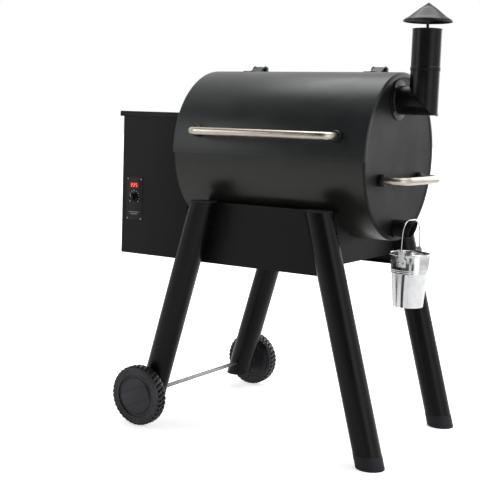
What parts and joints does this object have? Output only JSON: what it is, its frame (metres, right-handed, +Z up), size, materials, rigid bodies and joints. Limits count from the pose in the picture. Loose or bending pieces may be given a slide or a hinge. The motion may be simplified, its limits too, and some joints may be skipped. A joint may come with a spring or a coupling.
{
  "type": "pellet smoker grill",
  "caption": "Barrel pellet smoker grill on splayed tube legs: hinged lid with bar handle, side hopper with controller, capped chimney, grease bucket on a spout, wheels at one end.",
  "frame": {"origin": "on the floor, under the middle of the overall box, 69 mm left of the middle of the barrel", "axes": "+Z up; the front, with the lid handle and the controller, faces -Y; the chimney and the grease bucket are towards +X"},
  "size_m": [1.032, 0.68, 1.2435],
  "materials": {
    "lid_enamel": "charcoal high-temperature enamel, satin",
    "black_powder_coat": "matte black powder coat, fine texture",
    "leg_paint": "black tube paint, semi-gloss",
    "chimney_gloss_paint": "black high-temperature paint, semi-gloss",
    "satin_stainless": "satin stainless tube, warm tone",
    "collar_plastic": "moulded black nylon",
    "foot_plastic": "moulded dark grey polypropylene",
    "wheel_plastic": "moulded dark grey polypropylene, lugged tread",
    "zinc_steel": "zinc-plated steel",
    "galvanised_steel": "galvanised sheet, bright",
    "fire_steel": "heat-darkened mild steel",
    "grate_chrome": "nickel-plated wire",
    "controller_plastic": "moulded black ABS",
    "red_display": "red tinted display lens"
  },
  "bodies": {
    "root": {"barrel_shell": "lid_enamel", "lid_hinge_brackets": "lid_enamel", "left_end_plate": "black_powder_coat", "right_end_plate": "black_powder_coat", "front_apron": "black_powder_coat", "rear_apron": "black_powder_coat", "barrel_saddles": "black_powder_coat", "hopper_box": "black_powder_coat", "hopper_spacer": "black_powder_coat", "hopper_hinges": "black_powder_coat", "drain_spout": "black_powder_coat", "leg_front_left": "leg_paint", "leg_rear_left": "leg_paint", "leg_front_right": "leg_paint", "leg_rear_right": "leg_paint", "chimney_pipe": "chimney_gloss_paint", "chimney_elbow": "chimney_gloss_paint", "cap_bridge": "chimney_gloss_paint", "side_handle": "satin_stainless", "side_handle_collars": "collar_plastic", "leg_end_caps": "foot_plastic", "axle": "zinc_steel", "axle_spacers_and_nuts": "zinc_steel", "bolts_and_screws": "zinc_steel", "air_duct": "fire_steel", "auger_tube": "fire_steel", "firepot": "fire_steel", "igniter_rod": "fire_steel", "heat_baffle": "fire_steel", "drip_tray": "fire_steel", "grease_gutter": "fire_steel", "grate_ledges": "fire_steel", "hopper_funnel": "fire_steel", "cooking_grates": "grate_chrome", "warming_rack": "grate_chrome", "finger_guard": "grate_chrome", "temperature_probe": "grate_chrome", "controller_panel": "controller_plastic", "controller_case": "controller_plastic", "power_inlet": "controller_plastic", "fan_housing": "controller_plastic", "auger_motor": "controller_plastic", "display_window": "red_display"},
    "lid": {"lid_shell": "lid_enamel", "lid_handle": "satin_stainless", "lid_handle_fixings": "collar_plastic", "lid_hinge_knuckles": "lid_enamel"},
    "hopper_lid": {"hopper_lid": "black_powder_coat"},
    "chimney_cap": {"chimney_cap": "chimney_gloss_paint", "cap_stem": "zinc_steel"},
    "wheel_front": {"wheel_tyre_front": "wheel_plastic", "wheel_hub_front": "wheel_plastic"},
    "wheel_rear": {"wheel_tyre_rear": "wheel_plastic", "wheel_hub_rear": "wheel_plastic"},
    "dial": {"dial_knob": "controller_plastic"},
    "rocker": {"power_switch": "controller_plastic"},
    "auger": {"auger_screw": "fire_steel"},
    "fan": {"fan_wheel": "controller_plastic"},
    "bail": {"bail": "galvanised_steel"},
    "bucket": {"bucket": "galvanised_steel"}
  },
  "joints": [
    {"name": "lid_hinge", "type": "hinge", "parent": "root", "child": "lid", "pos_m": [0.069, 0.062, 1.068], "axis": [-1, 0, 0], "range_deg": [0, 80]},
    {"name": "hopper_lid_hinge", "type": "hinge", "parent": "root", "child": "hopper_lid", "pos_m": [-0.38, 0.154, 0.92], "axis": [-1, 0, 0], "range_deg": [0, 100]},
    {"name": "chimney_cap_height", "type": "slide", "parent": "root", "child": "chimney_cap", "axis": [0, 0, 1], "range_m": [-0.011, 0.025]},
    {"name": "wheel_front_spin", "type": "hinge", "parent": "root", "child": "wheel_front", "pos_m": [-0.28217, -0.319, 0.089], "axis": [0, 1, 0], "continuous": true},
    {"name": "wheel_rear_spin", "type": "hinge", "parent": "root", "child": "wheel_rear", "pos_m": [-0.28217, 0.319, 0.089], "axis": [0, 1, 0], "continuous": true},
    {"name": "dial_turn", "type": "hinge", "parent": "root", "child": "dial", "pos_m": [-0.457, -0.143, 0.659], "axis": [0, -1, 0], "range_deg": [-130, 130]},
    {"name": "power_rock", "type": "hinge", "parent": "root", "child": "rocker", "pos_m": [-0.33, 0.139, 0.575], "axis": [-1, 0, 0], "range_deg": [0, 16]},
    {"name": "auger_spin", "type": "hinge", "parent": "root", "child": "auger", "pos_m": [-0.2, 0, 0.64], "axis": [1, 0, 0], "continuous": true},
    {"name": "fan_spin", "type": "hinge", "parent": "root", "child": "fan", "pos_m": [-0.38, 0, 0.545], "axis": [0, 1, 0], "continuous": true},
    {"name": "bail_swing", "type": "hinge", "parent": "root", "child": "bail", "pos_m": [0.429, -0.017, 0.622], "axis": [1, 0, 0], "range_deg": [-15, 15]},
    {"name": "bucket_swing", "type": "hinge", "parent": "bail", "child": "bucket", "pos_m": [0.429, -0.017, 0.562], "axis": [0, 1, 0], "range_deg": [-20, 20]}
  ]
}
